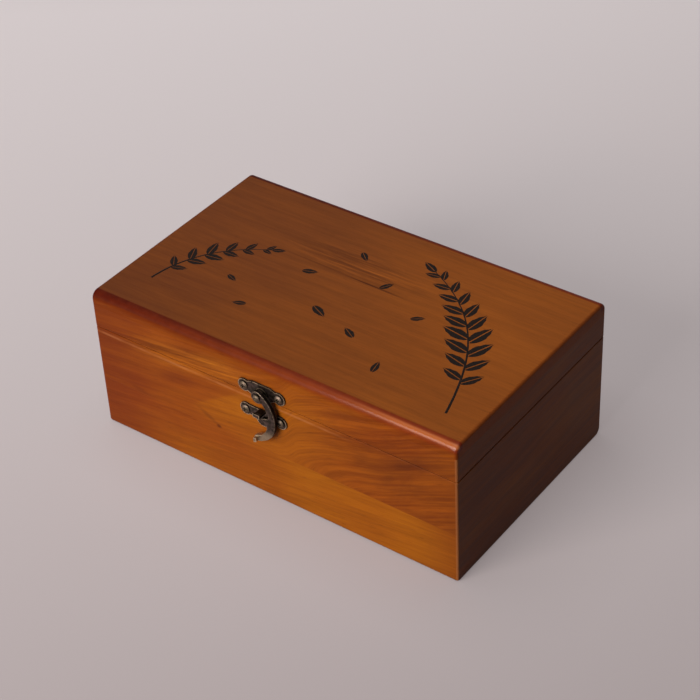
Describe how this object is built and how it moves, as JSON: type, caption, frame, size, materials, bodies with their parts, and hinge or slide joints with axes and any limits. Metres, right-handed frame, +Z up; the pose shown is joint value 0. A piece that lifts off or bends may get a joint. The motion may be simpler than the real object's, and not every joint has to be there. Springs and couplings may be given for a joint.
{
  "type": "hinged wooden keepsake box",
  "caption": "Stained wooden box with a hinged lid, rounded long edges, mitred boards and a swinging hook latch, for papers and keepsakes.",
  "frame": {"origin": "middle of the flat underside, on the surface that the box stands on", "axes": "+X along the front to the viewer's right, +Y from the front to the back, +Z up"},
  "size_m": [0.21, 0.1355, 0.08],
  "materials": {
    "stained_wood": "satin varnish over a red-brown stain",
    "plywood": "bare, lightly sanded",
    "antique_bronze": "dark antique finish, worn bright on the edges"
  },
  "bodies": {
    "base": {"box_front_board": "stained_wood", "box_right_board": "stained_wood", "box_back_board": "stained_wood", "box_left_board": "stained_wood", "bottom_panel": "plywood", "catch_plate": "antique_bronze", "catch_screw_left": "antique_bronze", "catch_screw_right": "antique_bronze", "left_hinge_base_leaf": "antique_bronze", "left_hinge_pin": "antique_bronze", "left_hinge_base_screw_left": "antique_bronze", "left_hinge_base_screw_right": "antique_bronze", "right_hinge_base_leaf": "antique_bronze", "right_hinge_pin": "antique_bronze", "right_hinge_base_screw_left": "antique_bronze", "right_hinge_base_screw_right": "antique_bronze"},
    "lid": {"lid_top_panel": "stained_wood", "lid_front_rail": "stained_wood", "lid_right_rail": "stained_wood", "lid_back_rail": "stained_wood", "lid_left_rail": "stained_wood", "latch_plate": "antique_bronze", "latch_rivet": "antique_bronze", "latch_screw_left": "antique_bronze", "latch_screw_right": "antique_bronze", "left_hinge_lid_leaf": "antique_bronze", "left_hinge_lid_screw_left": "antique_bronze", "left_hinge_lid_screw_right": "antique_bronze", "right_hinge_lid_leaf": "antique_bronze", "right_hinge_lid_screw_left": "antique_bronze", "right_hinge_lid_screw_right": "antique_bronze"},
    "hook": {"latch_hook": "antique_bronze"}
  },
  "joints": [
    {"name": "lid_hinge", "type": "hinge", "parent": "base", "child": "lid", "pos_m": [0, 0.0649, 0.05985], "axis": [-1, 0, 0], "range_deg": [0, 180]},
    {"name": "latch_pivot", "type": "hinge", "parent": "lid", "child": "hook", "pos_m": [-0.0018, -0.063, 0.0632], "axis": [0, -1, 0], "range_deg": [0, 110]}
  ]
}
